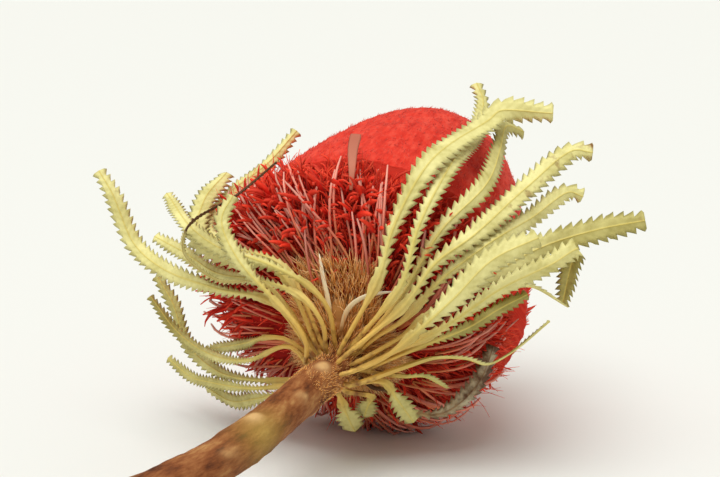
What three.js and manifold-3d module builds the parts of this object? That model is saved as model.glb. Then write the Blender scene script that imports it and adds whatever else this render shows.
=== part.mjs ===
// A dried, red-dyed banksia flower head lying on its side on a table, with its
// whorl of saw-toothed leaves and a short cut stem. Millimetres, +Z up.
// The origin is the middle of the pressed spot that the head lies on.
import * as THREE from "three";
import { mergeVertices } from "three/addons/utils/BufferGeometryUtils.js";
import Module from "manifold-3d";

const wasm = await Module();
wasm.setup();

// How the head lies: its axis runs from the stem, away and up to the tip.
const HEAD_YAW = 19;
const HEAD_PITCH = 25;
const HEAD_BASE = new THREE.Vector3(-9, -26, 27);
const GAP = 0.35; // between pieces that touch

// The head, measured along its axis from the base (station) and out from it (radius).
const RIM_STATION = 14;
const RIM_RADIUS = 36.5;
const HEAD_LENGTH = 78;
const HEAD_POWER = 1.2; // how blunt the head is: 2 would make it a half ellipse
const DOME_STATION = 27;
const DOME_INSET = 0.7; // how far the dome lies inside the florets' outline
const DOME_LEAN = 5; // how far the dome's tip stands off the axis
const LEAN_AZIMUTH = 40;
const LONG_SIDE = -105; // azimuth of the side where the open florets are longest
const LOPSIDE = 0.15;
const RACHIS_RADIUS = 3.4;
const RACHIS_TOP = 20;

// Unopened buds on the dome: cells round it, rows up it, how far each bud stands up.
const BUDS_ROUND = 32;
const BUD_ROWS = 20;
const BUD_RISE = 1;

// Open florets: a feathery red perianth and a stiff pink style each.
const FLORETS = 150;
const FLORET_LOW = 10;
const FLORET_HIGH = 21;
const FLORET_LIFT = [6, 18]; // degrees towards the tip, at the lowest floret and at the highest
const FLORET_LENGTH = 9;
const FLORET_ROOT = 3; // how deep a floret is rooted in the head
const PERIANTH_RADIUS = 2.1;
const STYLE_RADIUS = 0.6;
const UNDERSIDE_STYLES = 72;
const UNDERSIDE_LIFT = 0.24; // radians
const UNDERSIDE_STYLE_RADIUS = 1;
const PRESSED_RADIUS = 10; // the mat of florets that the head lies on
const PRESSED_FLARE = 2;
const PRESSED_DEPTH = 14;
const PRESSED_STATION = 14.2;

// The bracts between stem and head.
const BRACTS = 13;
const BRACT_LENGTH = 14;
const BRACT_WIDTH = 6.4;
const BRACT_THICKNESS = 2.2;
const BRACT_LIFT = 0.16; // radians
const COLLAR_STATION = -4.2;

// The stem's middle line below the head, from the head's base, to its cut end on the table.
const STEM_PATH = [
  [-7.5, -17.2, -4.6],
  [-17.7, -41.2, -7.3],
  [-26.2, -54.6, -9.2],
  [-37, -65, -12],
  [-55, -83.5, -23.1],
];
const STEM_TOP_STATION = -0.6;
const STEM_BEND_STATION = -7.4; // up to here the stem runs along the head's axis
const STEM_TOP_RADIUS = 3.9;
const STEM_END_RADIUS = 4.4;
const STEM_SIDES = 12;
const STEM_RINGS = 26;
// Old leaf scars stand out of the bark: share of the way down, turn in degrees.
const SCARS = [
  [0.16, 256], [0.22, 120], [0.29, 230], [0.37, 40], [0.44, 270],
  [0.55, 230], [0.64, 120], [0.73, 320], [0.83, 190],
];
const SCAR_RISE = 0.8;
const SCAR_LENGTH = 0.035;
const SCAR_TURN = 0.55;

// A leaf: a slim stalk, then a blade edged with forward-pointing teeth, cut square at the tip.
const STALK_LENGTH = 17;
const STALK_HALF_WIDTH = 0.65;
const LEAF_THICKNESS = 1;
const BLADE_BASE = 0.42; // the blade's width where it leaves the stalk, as a share of the full one
const BLADE_SWELL = 0.5; // the share of the blade over which it widens
const TOOTH_PITCH = 4.2;
const TOOTH_DEPTH = 0.3; // as a share of half the blade's width
const TOOTH_TIP = 0.75; // a tooth's tip, as a share of the pitch
const TIP_SHARE = 0.72; // the tip's width, as a share of the blade's
const TIP_START = 0.84; // the share of the blade where it starts to narrow to the tip

// Each leaf: where it leaves the stem (azimuth, distance below the head's base), the points its
// rib passes through (azimuth, radius and station on the head's axis), its roll in degrees at the
// stalk and at the tip, its width across the teeth, and whether it has withered brown.
// Azimuth 0 is up and 90 is to the right, seen from the stem.
const LEAVES = [
  {
    root: [18, 9.5], roll: [0, -15], width: 6.6,
    rib: [[27, 23, -2], [24, 31, 5], [26, 41, 16], [37, 41, 41], [39, 42.5, 45], [50, 49.5, 47]],
  },
  {
    root: [32, 8], roll: [0, -10], width: 5,
    rib: [
      [38, 19.5, -5.5], [38, 25.5, -3], [32, 34, 5], [32, 40.5, 19.5], [37, 34, 46], [34, 33, 59],
      [29, 33.5, 63],
    ],
  },
  {
    root: [48, 6.5], roll: [-5, 10], width: 5.4,
    rib: [
      [43, 20, -2.5], [42, 24.5, 2], [40, 33, 9], [44, 40.5, 20.5], [45, 38.5, 38], [44, 38.5, 47],
      [51, 38, 51],
    ],
  },
  {
    root: [36, 12.5], roll: [-10, -30], width: 6,
    rib: [[46, 22, -4], [45, 30, 3], [49, 37.5, 9], [56, 42.5, 29], [59, 50.5, 41], [62, 53.5, 42]],
  },
  {
    root: [58, 5.5], roll: [-10, -10], width: 5.2,
    rib: [
      [52, 11, -5], [55, 17.5, -3], [54, 22, 0], [52, 28, 3], [54, 37.5, 9], [63, 41, 25], [66, 47, 35],
      [69, 49, 36],
    ],
  },
  {
    root: [66, 9], roll: [-15, -35], width: 6.4,
    rib: [[65, 15, -4], [62, 22.5, -1], [64, 34, 8], [68, 44, 18], [70, 55.5, 22], [71, 65, 23]],
  },
  {
    root: [72, 13.5], roll: [-15, -17], width: 6.2,
    rib: [[72, 9, -9], [67, 14, -8], [63, 19, -6.5], [57, 31.5, -2.5], [55, 41, 2.5], [59, 49, 9]],
  },
  {
    root: [80, 9.5], roll: [-20, -10], width: 5.2,
    rib: [
      [72, 13.5, -6], [69, 24, -3], [67, 37, 5], [69, 47, 12], [69, 51.5, 15], [75, 48, 17],
      [89, 43.5, 19],
    ],
  },
  {
    root: [90, 5.5], roll: [30, 60], width: 3.2,
    rib: [[75, 15, -3], [74, 24.5, 2], [73, 31, 5.5], [72, 37, 9], [74, 40.5, 11], [84, 46.5, 13]],
  },
  {
    root: [104, 6.5], roll: [-25, -30], width: 3.6,
    rib: [[80, 11, -6.5], [77, 17, -4], [78, 27.5, 2], [76, 34, 6], [77, 39, 11]],
  },
  {
    root: [110, 12], roll: [40, 50], width: 2.2,
    rib: [[91, 13.5, -6], [87, 20.5, -3], [92, 26.5, 0], [97, 30.5, 2], [93, 35, 4], [85, 43, 9]],
  },
  {
    root: [112, 5.5], roll: [20, 40], width: 2.8,
    rib: [[105, 14, -4.5], [104, 18, -3], [117, 23.5, 1]],
  },
  {
    root: [138, 5.5], roll: [-30, -50], width: 4.6, withered: true,
    rib: [[134, 9.5, -6], [130, 12, -5], [140, 19.5, -3], [131, 25.5, -1], [113, 29, 3], [97, 30.5, 8]],
  },
  {
    root: [126, 8.5], roll: [-25, -25], width: 5.2,
    rib: [[105, 10.5, -8], [124, 14.5, -7], [141, 22, -4]],
  },
  {
    root: [152, 9.5], roll: [0, 10], width: 5.4,
    rib: [[134, 9.5, -8.5], [155, 12, -6.5], [173, 18, -3]],
  },
  {
    root: [-176, 9.5], roll: [-28, -25], width: 6.4,
    rib: [[-179, 6, -9.5], [-180, 10.5, -8.5], [180, 20.5, -5]],
  },
  {
    root: [-138, 8], roll: [20, 40], width: 4.6,
    rib: [[-128, 20.5, -4], [-126, 30.5, -1], [-125, 40.5, 3], [-120, 48.5, 8]],
  },
  {
    root: [-128, 12], roll: [30, 60], width: 3.4,
    rib: [[-121, 15, -6.5], [-119, 28, -2.5], [-116, 41.5, 3], [-115, 50, 7.5], [-111, 57, 12.5]],
  },
  {
    root: [-112, 6], roll: [25, 80], width: 4.2,
    rib: [[-123, 17, -3], [-117, 29, 0], [-114, 41, 6], [-107, 49, 12], [-99, 52, 18], [-93, 56.5, 22]],
  },
  {
    root: [-98, 9.5], roll: [25, 80], width: 3.2,
    rib: [[-75, 11, -6], [-105, 26, -1], [-106, 39.5, 5], [-101, 48.5, 10], [-92, 54, 13]],
  },
  {
    root: [-90, 7], roll: [20, 45], width: 3.4,
    rib: [[-71, 12, -5], [-82, 17.5, -3], [-101, 27, 3], [-108, 42, 8.5]],
  },
  {
    root: [-50, 11], roll: [20, 60], width: 5.2,
    rib: [
      [-45, 18.5, -4.5], [-69, 31.5, 1.5], [-77, 46.5, 8], [-77, 56.5, 14], [-70, 65, 20], [-68, 70, 23],
    ],
  },
  {
    root: [-18, 9.5], roll: [20, 55], width: 4.4,
    rib: [
      [-3, 13.5, -9.5], [-13, 19.5, -8.5], [-39, 24, -4], [-64, 33, 3], [-71, 42, 10], [-76, 52.5, 17],
    ],
  },
  {
    root: [-4, 6.5], roll: [20, 60], width: 4.2,
    rib: [
      [-1, 15.5, -6.5], [-11, 21.5, -6.5], [-25, 27.5, -6], [-44, 35, -2], [-49, 41.5, 1],
      [-61, 51.5, 17],
    ],
  },
  {
    root: [-46, 8.5], roll: [20, 70], width: 6,
    rib: [[-26, 24, -4], [-48, 31.5, 0], [-54, 39.5, 3.5], [-55, 43, 15], [-58, 42.5, 30]],
  },
  {
    root: [-34, 7.5], roll: [20, 80], width: 4.6,
    rib: [
      [-27, 23.5, -1.5], [-48, 31.5, 3.5], [-54, 39, 7.5], [-60, 39.5, 25.5], [-59, 35.5, 42],
      [-49, 34, 50],
    ],
  },
  {
    root: [-66, 6.5], roll: [-30, -20], width: 1.6, withered: true,
    rib: [
      [-31, 24, -7.5], [-59, 32, -1.5], [-57, 40.5, -0.5], [-46, 43, -0.5], [-35, 39.5, 8],
      [-21, 40.5, 13],
    ],
  },
  {
    root: [-50, 15], roll: [30, 40], width: 4.2,
    rib: [
      [-23, 9.5, -12.5], [-22, 14.5, -11.5], [-30, 23, -9.5], [-35, 32, -6.5], [-37, 39, 0],
      [-32, 41, 4],
    ],
  },
];

const radians = THREE.MathUtils.degToRad;
const GOLDEN_ANGLE = Math.PI * (3 - Math.sqrt(5));

const axis = new THREE.Vector3(
  Math.sin(radians(HEAD_YAW)) * Math.cos(radians(HEAD_PITCH)),
  Math.cos(radians(HEAD_YAW)) * Math.cos(radians(HEAD_PITCH)),
  Math.sin(radians(HEAD_PITCH)),
);
const right = new THREE.Vector3().crossVectors(axis, new THREE.Vector3(0, 0, 1)).normalize();
const up = new THREE.Vector3().crossVectors(right, axis);
const headFrame = new THREE.Matrix4().makeBasis(up, right, axis).setPosition(HEAD_BASE);
const headFrameInverse = headFrame.clone().invert();

// A point in the head's own frame, from its azimuth in degrees, radius and station.
function polar(azimuth, radius, station) {
  const turn = radians(azimuth);
  return new THREE.Vector3(radius * Math.cos(turn), radius * Math.sin(turn), station);
}

// The radius of the floret tips: an egg-shaped curve from the rim to the tip.
function headRadius(station) {
  const share = Math.max(0, station - RIM_STATION) / (HEAD_LENGTH - RIM_STATION);
  return RIM_RADIUS * Math.sqrt(Math.max(0, 1 - share ** HEAD_POWER));
}

function meshFrom(vertices, triangles) {
  const geometry = new THREE.BufferGeometry();
  const numbers = vertices.flatMap((vertex) => vertex.toArray());
  geometry.setAttribute("position", new THREE.Float32BufferAttribute(numbers, 3));
  geometry.setIndex(triangles);
  return geometry;
}

function toSolid(geometry) {
  const bare = geometry.clone().deleteAttribute("normal").deleteAttribute("uv");
  const merged = mergeVertices(bare, 1e-4);
  return new wasm.Manifold(
    new wasm.Mesh({
      numProp: 3,
      vertProperties: merged.attributes.position.array,
      triVerts: new Uint32Array(merged.index.array),
    }),
  );
}

function toGeometry(solid) {
  const mesh = solid.getMesh();
  const geometry = new THREE.BufferGeometry();
  geometry.setAttribute("position", new THREE.BufferAttribute(mesh.vertProperties, 3));
  geometry.setIndex(new THREE.BufferAttribute(mesh.triVerts, 1));
  return geometry;
}

// A lathe about the head's axis from [radius, station] points that run from the bottom up.
function turned(profile, sides) {
  const points = profile.map(([radius, station]) => new THREE.Vector2(radius, station));
  return new THREE.LatheGeometry(points, sides).rotateX(Math.PI / 2);
}

// A pointed spike of a few sides that starts at root and runs along direction, flattened across it.
function spike(root, direction, length, radius, sides, flatness = 1) {
  const cone = new THREE.ConeGeometry(radius, length, sides).translate(0, length / 2, 0);
  cone.scale(1, 1, flatness);
  const outward = new THREE.Vector3(root.x, root.y, 0).normalize();
  const across = new THREE.Vector3().crossVectors(direction, outward).normalize();
  const facing = new THREE.Vector3().crossVectors(across, direction);
  cone.applyMatrix4(new THREE.Matrix4().makeBasis(across, direction, facing).setPosition(root));
  return cone;
}

// Outward at an azimuth, raised towards the tip of the head by a lift, both in radians.
function leaning(azimuth, lift) {
  const flat = Math.cos(lift);
  return new THREE.Vector3(flat * Math.cos(azimuth), flat * Math.sin(azimuth), Math.sin(lift));
}

// How far the dome is shifted off the axis at a station: fast at its foot, then slower.
function lean(station) {
  const share = (station - DOME_STATION) / (HEAD_LENGTH - DOME_STATION);
  return polar(LEAN_AZIMUTH, DOME_LEAN * (1 - (1 - share) ** 2), 0);
}

// The dome of unopened buds: a lattice of diamond cells, each raised to a point in its middle.
function budDome() {
  const rings = BUD_ROWS + 2;
  const vertices = [];
  const triangles = [];
  const foot = DOME_STATION + GAP;
  const tip = HEAD_LENGTH - 1.2;
  const outline = [0, 0.2, 0.4, 0.6, 0.75, 0.87, 0.95, 1].map((share) => {
    const station = THREE.MathUtils.lerp(foot, tip, share);
    return new THREE.Vector2(Math.max(headRadius(station) - DOME_INSET, 2.5), station);
  });
  const levels = new THREE.SplineCurve(outline).getSpacedPoints(rings - 1);
  const place = (k, column, rise) => {
    const { x: radius, y: station } = levels[k];
    const height = rise * Math.min(1, radius / 14);
    return polar((column * 360) / BUDS_ROUND, radius + height, station + height * 0.4).add(lean(station));
  };
  for (let k = 0; k < rings; k++) {
    for (let j = 0; j < BUDS_ROUND; j++) vertices.push(place(k, j + (k % 2) / 2, 0));
  }
  const corner = (k, j) => k * BUDS_ROUND + ((j + BUDS_ROUND) % BUDS_ROUND);
  for (let k = 0; k < rings - 1; k++) {
    const shift = k % 2;
    for (let j = 0; j < BUDS_ROUND; j++) {
      const low = corner(k, j);
      const left = corner(k + 1, j - 1 + shift);
      const rightCorner = corner(k + 1, j + shift);
      if (k + 2 < rings) {
        const top = corner(k + 2, j);
        const peak = vertices.push(place(k + 1, j + shift / 2, BUD_RISE)) - 1;
        triangles.push(low, rightCorner, peak, rightCorner, top, peak, top, left, peak, left, low, peak);
      } else {
        triangles.push(low, rightCorner, left);
      }
    }
  }
  for (let j = 0; j < BUDS_ROUND; j++) triangles.push(corner(0, j + 1), corner(1, j), corner(0, j));
  const middle = vertices.push(polar(0, 0, foot)) - 1;
  const crown = vertices.push(polar(0, 0, HEAD_LENGTH).add(lean(HEAD_LENGTH))) - 1;
  for (let j = 0; j < BUDS_ROUND; j++) {
    triangles.push(middle, corner(0, j + 1), corner(0, j));
    triangles.push(crown, corner(rings - 1, j), corner(rings - 1, j + 1));
  }
  return meshFrom(vertices, triangles);
}

// The open florets: perianths and styles rooted in the head in a spiral, long styles that fan
// out below it, and a mat of them pressed flat where the head lies.
function openFlorets() {
  const hole = RACHIS_RADIUS + GAP;
  const core = [[0, RACHIS_TOP + 1], [hole, RACHIS_TOP + 1], [hole, 0.2], [9, 0.4], [20, 5], [25.5, 9.5]];
  for (const station of [16, 21, DOME_STATION - GAP]) {
    core.push([headRadius(station) - FLORET_LENGTH, station]);
  }
  core.push([0, DOME_STATION - GAP]);
  const pieces = [toSolid(turned(core, 28))];

  for (let i = 0; i < FLORETS; i++) {
    const share = (i + 0.5) / FLORETS;
    const station = FLORET_LOW + (FLORET_HIGH - FLORET_LOW) * share;
    const lift = radians(THREE.MathUtils.lerp(...FLORET_LIFT, share));
    const turn = i * GOLDEN_ANGLE;
    const lopside = 1 + LOPSIDE * (1 - share) * Math.cos(turn - radians(LONG_SIDE));
    const depth = headRadius(station) - FLORET_LENGTH - FLORET_ROOT;
    const length = (headRadius(station) * lopside - 2 * share - depth) / Math.cos(lift);
    const root = polar(THREE.MathUtils.radToDeg(turn), depth, station);
    pieces.push(toSolid(spike(root, leaning(turn, lift), length, PERIANTH_RADIUS, 4, 0.7)));
    const styleTurn = turn + GOLDEN_ANGLE / 3;
    const styleRoot = polar(THREE.MathUtils.radToDeg(styleTurn), depth, station);
    pieces.push(toSolid(spike(styleRoot, leaning(styleTurn, lift + 0.1), length, STYLE_RADIUS, 3)));
  }
  for (let i = 0; i < UNDERSIDE_STYLES; i++) {
    const azimuth = (i * 360) / UNDERSIDE_STYLES;
    const root = polar(azimuth, 10 + 4 * (i % 3), 1.6 + 1.6 * (i % 3));
    const lopside = 1 + LOPSIDE * Math.cos(radians(azimuth - LONG_SIDE));
    const length = RIM_RADIUS * lopside - 11 - 4 * (i % 3);
    const direction = leaning(radians(azimuth), UNDERSIDE_LIFT);
    pieces.push(toSolid(spike(root, direction, length, UNDERSIDE_STYLE_RADIUS, 3)));
  }
  const pad = new THREE.CylinderGeometry(PRESSED_RADIUS, PRESSED_RADIUS + PRESSED_FLARE, PRESSED_DEPTH, 18);
  pad.rotateZ(Math.PI / 2).translate(-RIM_RADIUS + 5, 0, PRESSED_STATION);
  pieces.push(toSolid(pad));

  const table = new THREE.BoxGeometry(300, 300, 100).translate(0, 0, -50).applyMatrix4(headFrameInverse);
  return toGeometry(wasm.Manifold.union(pieces).subtract(toSolid(table)));
}

// The collar of woolly brown bracts that hides the joint of stem and head.
function bractCollar() {
  const hole = STEM_TOP_RADIUS + 1.5 * GAP;
  const ring = [[hole, -GAP], [hole, COLLAR_STATION], [6.6, COLLAR_STATION], [7.6, -GAP], [hole, -GAP]];
  const pieces = [toSolid(turned(ring, 16))];
  for (let i = 0; i < BRACTS; i++) {
    const turn = (i * 2 * Math.PI) / BRACTS;
    const root = polar(THREE.MathUtils.radToDeg(turn), 5.2, -3.4 + 0.5 * (i % 2));
    const flatness = BRACT_THICKNESS / BRACT_WIDTH;
    pieces.push(toSolid(spike(root, leaning(turn, BRACT_LIFT), BRACT_LENGTH, BRACT_WIDTH / 2, 5, flatness)));
  }
  return toGeometry(wasm.Manifold.union(pieces));
}

const stemTop = [STEM_TOP_STATION, STEM_BEND_STATION].map((station) => axis.clone().multiplyScalar(station));
const stemKnots = [...stemTop, ...STEM_PATH.map((point) => new THREE.Vector3(...point))];
const stemCurve = new THREE.CatmullRomCurve3(stemKnots.map((knot) => knot.add(HEAD_BASE)));

function stemRadius(share) {
  return THREE.MathUtils.lerp(STEM_TOP_RADIUS, STEM_END_RADIUS, Math.min(1, share * 1.6));
}

// The rise of the old leaf scars at a place on the bark.
function scarRise(share, turn) {
  return SCARS.reduce((sum, [at, degrees]) => {
    const along = (share - at) / SCAR_LENGTH;
    const away = turn - radians(degrees);
    const round = Math.atan2(Math.sin(away), Math.cos(away)) / SCAR_TURN;
    return sum + SCAR_RISE * Math.exp(-along * along - round * round);
  }, 0);
}

// The woody stem, lofted along its path, and the rachis that it sends up into the head.
function stem() {
  const vertices = [];
  const triangles = [];
  const frames = stemCurve.computeFrenetFrames(STEM_RINGS);
  for (let i = 0; i <= STEM_RINGS; i++) {
    const share = i / STEM_RINGS;
    const centre = stemCurve.getPointAt(share);
    for (let j = 0; j < STEM_SIDES; j++) {
      const turn = (j * 2 * Math.PI) / STEM_SIDES;
      const radius = stemRadius(share) + scarRise(share, turn);
      vertices.push(
        centre
          .clone()
          .addScaledVector(frames.normals[i], radius * Math.cos(turn))
          .addScaledVector(frames.binormals[i], radius * Math.sin(turn)),
      );
    }
  }
  const corner = (i, j) => i * STEM_SIDES + (j % STEM_SIDES);
  for (let i = 0; i < STEM_RINGS; i++) {
    for (let j = 0; j < STEM_SIDES; j++) {
      triangles.push(corner(i, j), corner(i, j + 1), corner(i + 1, j + 1));
      triangles.push(corner(i, j), corner(i + 1, j + 1), corner(i + 1, j));
    }
  }
  const first = vertices.push(stemCurve.getPointAt(0)) - 1;
  const last = vertices.push(stemCurve.getPointAt(1)) - 1;
  for (let j = 0; j < STEM_SIDES; j++) {
    triangles.push(first, corner(0, j + 1), corner(0, j));
    triangles.push(last, corner(STEM_RINGS, j), corner(STEM_RINGS, j + 1));
  }
  const rachisLength = RACHIS_TOP + 8;
  const rachis = new THREE.CylinderGeometry(RACHIS_RADIUS, RACHIS_RADIUS, rachisLength, STEM_SIDES);
  rachis.rotateX(Math.PI / 2).translate(0, 0, RACHIS_TOP - rachisLength / 2).applyMatrix4(headFrame);
  const table = new THREE.BoxGeometry(400, 400, 100).translate(0, 0, -50);
  const wood = toSolid(meshFrom(vertices, triangles)).add(toSolid(rachis));
  return toGeometry(wood.subtract(toSolid(table)));
}

// Where a leaf leaves the bark, in the head's frame.
function leafRoot([azimuth, below]) {
  const share = (below + STEM_TOP_STATION) / stemCurve.getLength();
  const centre = stemCurve.getPointAt(share).applyMatrix4(headFrameInverse);
  const tangent = stemCurve.getTangentAt(share).transformDirection(headFrameInverse);
  const out = polar(azimuth, 1, 0);
  out.addScaledVector(tangent, -out.dot(tangent)).normalize();
  return centre.addScaledVector(out, stemRadius(share) + GAP + STALK_HALF_WIDTH);
}

// Half the blade's width at a distance along the leaf, before the teeth are cut.
function bladeHalfWidth(distance, stalkLength, length, width) {
  if (distance < stalkLength) return STALK_HALF_WIDTH;
  const along = (distance - stalkLength) / (length - stalkLength);
  const { lerp, smoothstep } = THREE.MathUtils;
  const base = Math.max((BLADE_BASE * width) / 2, STALK_HALF_WIDTH * 1.2);
  const narrowing = 1 - (1 - TIP_SHARE) * smoothstep(along, TIP_START, 1);
  return lerp(base, width / 2, smoothstep(along, 0, BLADE_SWELL)) * narrowing;
}

// A leaf: diamond sections along its rib, with the notches and tips of the teeth at alternate ones.
function leaf({ root, rib, roll, width }) {
  const curve = new THREE.CatmullRomCurve3([leafRoot(root), ...rib.map((p) => polar(...p))]);
  const length = curve.getLength();
  const stalkLength = Math.min(STALK_LENGTH, length * 0.35);
  const stations = [0, 0.35, 0.7].map((share) => ({ distance: share * stalkLength, cut: 0 }));
  const teeth = Math.max(4, Math.round((length - stalkLength) / TOOTH_PITCH));
  const pitch = (length - stalkLength) / teeth;
  for (let k = 0; k < teeth; k++) {
    stations.push({ distance: stalkLength + k * pitch, cut: k ? TOOTH_DEPTH : 0 });
    stations.push({ distance: stalkLength + (k + TOOTH_TIP) * pitch, cut: 0 });
  }
  stations.push({ distance: length, cut: 0 });

  const vertices = [];
  const triangles = [];
  for (const { distance, cut } of stations) {
    const share = distance / length;
    const point = curve.getPointAt(share);
    const tangent = curve.getTangentAt(share);
    const round = new THREE.Vector3(-point.y, point.x, 0).normalize();
    const across = round.addScaledVector(tangent, -round.dot(tangent)).normalize();
    const rolled = THREE.MathUtils.smoothstep(share, 0.15, 0.9);
    const turn = radians(THREE.MathUtils.lerp(...roll, rolled));
    across.applyAxisAngle(tangent, turn);
    const facing = new THREE.Vector3().crossVectors(across, tangent);
    const half = bladeHalfWidth(distance, stalkLength, length, width) * (1 - cut);
    vertices.push(
      point.clone().addScaledVector(across, half),
      point.clone().addScaledVector(facing, LEAF_THICKNESS / 2),
      point.clone().addScaledVector(across, -half),
      point.clone().addScaledVector(facing, -LEAF_THICKNESS / 2),
    );
  }
  const corner = (i, j) => i * 4 + (j % 4);
  const last = stations.length - 1;
  for (let i = 0; i < last; i++) {
    for (const edge of [0, 2]) {
      for (const rim of [1, 3]) {
        const flip = (edge === 0) === (rim === 1);
        const quad = [corner(i, edge), corner(i, rim), corner(i + 1, rim), corner(i + 1, edge)];
        const [a, b, c, d] = flip ? [quad[0], quad[3], quad[2], quad[1]] : quad;
        triangles.push(a, b, c, a, c, d);
      }
    }
  }
  triangles.push(0, 1, 2, 0, 2, 3);
  triangles.push(corner(last, 0), corner(last, 2), corner(last, 1));
  triangles.push(corner(last, 0), corner(last, 3), corner(last, 2));
  return meshFrom(vertices, triangles);
}

const LOOKS = {
  bud_felt: { color: 0xd6303a, roughness: 0.95, metalness: 0 },
  dyed_floret: { color: 0xb3141b, roughness: 0.8, metalness: 0 },
  bract_wool: { color: 0x8a5a2b, roughness: 0.95, metalness: 0 },
  stem_bark: { color: 0x7a4526, roughness: 0.85, metalness: 0 },
  dried_leaf: { color: 0xc3bf7a, roughness: 0.7, metalness: 0 },
  withered_leaf: { color: 0x7d5a3c, roughness: 0.8, metalness: 0 },
};

function node(name, geometry, look) {
  const mesh = new THREE.Mesh(geometry, new THREE.MeshStandardMaterial({ name: look, ...LOOKS[look] }));
  mesh.name = name;
  return mesh;
}

const banksia = new THREE.Group();
banksia.name = "banksia";
banksia.add(node("stem", stem(), "stem_bark"));

const head = new THREE.Group();
head.name = "head";
head.applyMatrix4(headFrame);
head.add(node("bract_collar", bractCollar(), "bract_wool"));
head.add(node("open_florets", openFlorets(), "dyed_floret"));
head.add(node("bud_dome", budDome(), "bud_felt"));
LEAVES.forEach((spec, i) => {
  const name = `leaf_${String(i + 1).padStart(2, "0")}`;
  head.add(node(name, leaf(spec), spec.withered ? "withered_leaf" : "dried_leaf"));
});
banksia.add(head);

export default banksia;
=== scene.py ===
# %% [markdown]
# # A dried banksia flower head
# The solids of the flower head come first and stay where they are. Each step below then puts a
# finer surface in the place of one of them: a leaf, the felted dome, the shaggy skirt of florets.

import bpy
import numpy as np
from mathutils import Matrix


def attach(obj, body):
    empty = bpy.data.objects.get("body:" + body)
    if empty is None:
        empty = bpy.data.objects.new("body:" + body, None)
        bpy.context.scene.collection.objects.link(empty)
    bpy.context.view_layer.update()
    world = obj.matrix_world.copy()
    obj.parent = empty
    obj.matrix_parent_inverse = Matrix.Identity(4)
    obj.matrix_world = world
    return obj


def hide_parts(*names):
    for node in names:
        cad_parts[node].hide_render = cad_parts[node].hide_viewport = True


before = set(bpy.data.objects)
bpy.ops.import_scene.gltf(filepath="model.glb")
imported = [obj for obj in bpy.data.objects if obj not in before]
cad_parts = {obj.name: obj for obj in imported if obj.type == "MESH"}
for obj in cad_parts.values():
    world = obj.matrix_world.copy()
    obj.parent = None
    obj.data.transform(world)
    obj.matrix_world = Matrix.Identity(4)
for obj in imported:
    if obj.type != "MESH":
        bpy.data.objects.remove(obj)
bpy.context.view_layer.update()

# %% [markdown]
# ## The head's own axes
# The head lies on its side, so nothing on it is square to the table. It is easier to think in its
# own frame: an azimuth round the axis (0 is up, 90 is to the right, seen from the stem), a radius out
# from the axis and a station along it. All shapes are worked out there in millimetres.

# %% Points of the head and points of the table
MM = 0.001
HEAD_YAW, HEAD_PITCH = np.radians([19.0, 25.0])
HEAD_BASE = np.array([-9.0, -26.0, 27.0])
HEAD_LENGTH = 78
LEVEL = np.cos(HEAD_PITCH)  # how much of the axis runs along the table
AXIS = np.array([np.sin(HEAD_YAW) * LEVEL, np.cos(HEAD_YAW) * LEVEL, np.sin(HEAD_PITCH)])
RIGHT = np.cross(AXIS, [0, 0, 1]) / LEVEL
UP = np.cross(RIGHT, AXIS)
HEAD_AXES = np.stack([UP, RIGHT, AXIS])


def polar(azimuth, radius, station):
    """Radius times the cosine and the sine of the azimuth (degrees), then the station."""
    turn = np.radians(azimuth)
    parts = np.broadcast_arrays(radius * np.cos(turn), radius * np.sin(turn), station)
    return np.stack(parts, -1).astype(float)


def on_table(points):
    """A point of the head's frame, as base + each of its numbers times its own axis."""
    return HEAD_BASE + points @ HEAD_AXES


def in_head(points):
    """The way back: how far a point of the table lies along each of the head's axes."""
    return (points - HEAD_BASE) @ HEAD_AXES.T


def unit(vectors):
    """Vectors divided by their length."""
    return vectors / np.maximum(np.linalg.norm(vectors, axis=-1, keepdims=True), 1e-9)


print("tip of the head at", on_table(polar(0, 0, HEAD_LENGTH)).round(1), "mm")

# %% [markdown]
# ## Camera, table and light
# The picture was taken from a little above the table, looking along the stem. The table is a white
# sheet that runs out of view. The light is a broad soft source almost overhead, a little to the front
# left, and a warm white room fills the shadows, so that they are pale and wide.

# %% Camera
CAMERA_PLACE = np.array([-6.4, -345.6, 112.5])
CAMERA_ELEVATION = np.radians(11.0)
FOCAL_PIXELS = 1518
IMAGE_WIDTH = 720
camera = bpy.data.objects.new("camera", bpy.data.cameras.new("camera"))
camera.data.sensor_width = 36
camera.data.lens = FOCAL_PIXELS * camera.data.sensor_width / IMAGE_WIDTH
camera.location = CAMERA_PLACE * MM
camera.rotation_euler = (np.pi / 2 - CAMERA_ELEVATION, 0, 0)
bpy.context.scene.collection.objects.link(camera)
bpy.context.scene.camera = camera
bpy.context.scene.view_settings.view_transform = "Standard"
print("lens", round(camera.data.lens, 1), "mm")

# %% Light
KEY_STRENGTH, KEY_SPREAD = 2.45, 52
ROOM_COLOUR, ROOM_STRENGTH = (1.0, 0.955, 0.86, 1), 0.48
sun = bpy.data.objects.new("soft_key", bpy.data.lights.new("soft_key", "SUN"))
sun.data.energy = KEY_STRENGTH
sun.data.angle = np.radians(KEY_SPREAD)
sun.data.color = (0.97, 0.99, 1.0)
sun.rotation_euler = np.radians([16, -10, 0])
bpy.context.scene.collection.objects.link(sun)
world = bpy.data.worlds.new("white_room")
world.use_nodes = True
background = world.node_tree.nodes["Background"]
background.inputs["Color"].default_value = ROOM_COLOUR
background.inputs["Strength"].default_value = ROOM_STRENGTH
bpy.context.scene.world = world
print("key light", KEY_STRENGTH, "room", ROOM_STRENGTH)

# %% [markdown]
# ## Tools for finishes
# A colour is written as it would be picked on a screen, so it has to be made linear before it goes
# into a shader. One function adds a node with its settings and its links, for every kind of node.

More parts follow.
